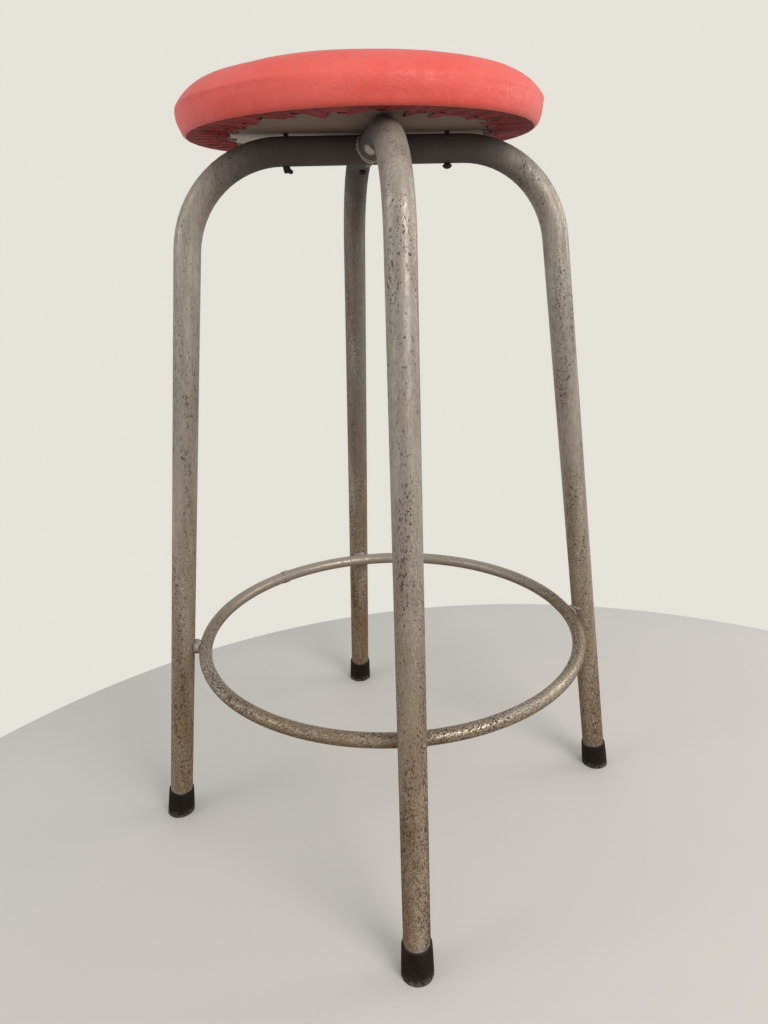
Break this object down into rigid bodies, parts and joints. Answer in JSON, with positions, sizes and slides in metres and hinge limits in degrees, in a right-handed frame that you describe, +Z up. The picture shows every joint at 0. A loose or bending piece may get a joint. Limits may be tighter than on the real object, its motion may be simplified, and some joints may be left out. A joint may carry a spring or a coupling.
{
  "type": "bar stool",
  "caption": "Backless round bar stool: coral leathercloth seat on crossed bent-tube legs, with a ring footrest and black rubber tips.",
  "frame": {"origin": "on the floor, midway between the four feet", "axes": "+Z up, along the stool's height; -Y is the front leg, -X the left leg and +X the right leg"},
  "size_m": [0.5498, 0.5482, 0.7847],
  "materials": {
    "coral_leathercloth": "satin coral-red vinyl-coated cloth with a fine grain and soft creases",
    "seat_foam": "pale yellow upholstery foam, under the cover",
    "seat_board": "pale grey-washed plywood",
    "staple_wire": "dark, rusted steel wire",
    "aged_steel": "grey-beige aged steel tube with brown pits and lengthwise streaks",
    "worn_steel": "aged steel bar, rubbed brighter where feet rest",
    "weld_metal": "lumpy grey weld",
    "screw_steel": "blackened steel",
    "black_rubber": "black moulded rubber, scuffed and dusty at the edge",
    "washer_steel": "plain zinc-grey steel"
  },
  "bodies": {
    "root": {"seat_cover": "coral_leathercloth", "seat_foam": "seat_foam", "seat_board": "seat_board", "hem_staples": "staple_wire", "cross_hoop": "aged_steel", "front_leg": "aged_steel", "rear_leg": "aged_steel", "front_crossing_weld": "weld_metal", "rear_crossing_weld": "weld_metal", "footrest_ring": "worn_steel", "ring_seam_weld": "weld_metal", "seat_screw_left": "screw_steel", "ring_weld_left": "weld_metal", "tip_left": "black_rubber", "tip_washer_left": "washer_steel", "seat_screw_right": "screw_steel", "ring_weld_right": "weld_metal", "tip_right": "black_rubber", "tip_washer_right": "washer_steel", "seat_screw_front": "screw_steel", "ring_weld_front": "weld_metal", "tip_front": "black_rubber", "tip_washer_front": "washer_steel", "seat_screw_rear": "screw_steel", "ring_weld_rear": "weld_metal", "tip_rear": "black_rubber", "tip_washer_rear": "washer_steel"}
  },
  "joints": []
}
